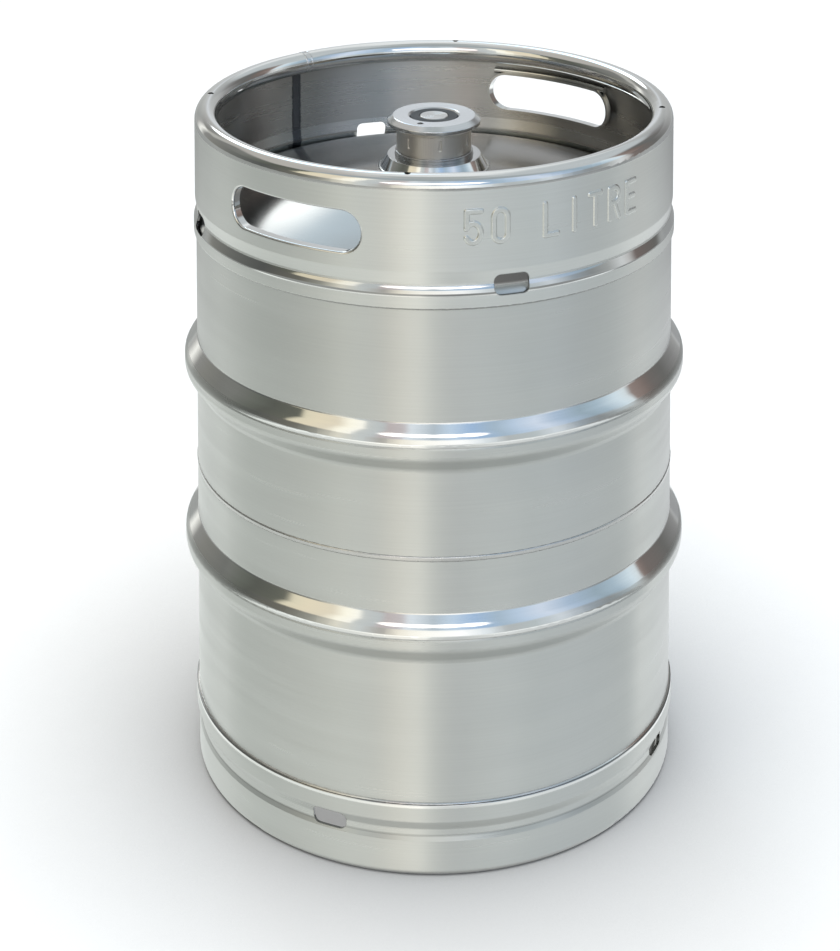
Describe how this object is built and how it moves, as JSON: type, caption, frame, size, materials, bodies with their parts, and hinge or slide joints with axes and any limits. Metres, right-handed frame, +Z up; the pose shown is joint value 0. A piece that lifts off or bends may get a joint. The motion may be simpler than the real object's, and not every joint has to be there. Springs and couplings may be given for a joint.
{
  "type": "beer keg",
  "caption": "Stainless steel beer keg with rolling hoops, welded top and foot chimes, hand holes, drain slots and a spring-loaded flat-top extractor valve with a down tube.",
  "frame": {"origin": "centre of the foot ring on the floor", "axes": "+Z up along the keg's axis; -Y is the front, with one hand hole 34 degrees to the left of it"},
  "size_m": [0.408, 0.408, 0.532],
  "materials": {
    "satin_steel": "satin brushed stainless steel",
    "polished_steel": "polished stainless steel",
    "turned_steel": "turned stainless steel",
    "weld_steel": "weld bead",
    "spring_steel": "bright spring wire",
    "valve_rubber": "dark grey moulded rubber",
    "seal_rubber": "black rubber",
    "plug_black": "matt black"
  },
  "bodies": {
    "root": {"upper_shell": "satin_steel", "lower_shell": "satin_steel", "girth_weld": "weld_steel", "top_chime": "satin_steel", "top_chime_weld": "weld_steel", "top_chime_seam": "weld_steel", "bottom_chime": "satin_steel", "bottom_chime_weld": "weld_steel", "bottom_chime_seam": "weld_steel", "neck_fitting": "polished_steel", "neck_weld": "weld_steel", "neck_seal": "seal_rubber", "locking_ring": "spring_steel", "valve_housing": "turned_steel", "marker_plug": "plug_black", "spring_retainer": "turned_steel", "main_spring": "spring_steel"},
    "gas_valve": {"gas_valve_rubber": "valve_rubber", "gas_valve_insert": "turned_steel", "down_tube_head": "turned_steel", "down_tube": "turned_steel", "beer_spring_seat": "turned_steel", "beer_valve_spring": "spring_steel"},
    "beer_valve": {"beer_valve_piston": "turned_steel"}
  },
  "joints": [
    {"name": "gas_valve_slide", "type": "slide", "parent": "root", "child": "gas_valve", "axis": [0, 0, -1], "range_m": [0, 0.006], "stiffness_N_per_m": 6000, "springref_m": -0.008, "deforming": ["main_spring"]},
    {"name": "beer_valve_slide", "type": "slide", "parent": "gas_valve", "child": "beer_valve", "axis": [0, 0, -1], "range_m": [0, 0.004], "stiffness_N_per_m": 2500, "springref_m": -0.006, "deforming": ["beer_valve_spring"]}
  ]
}
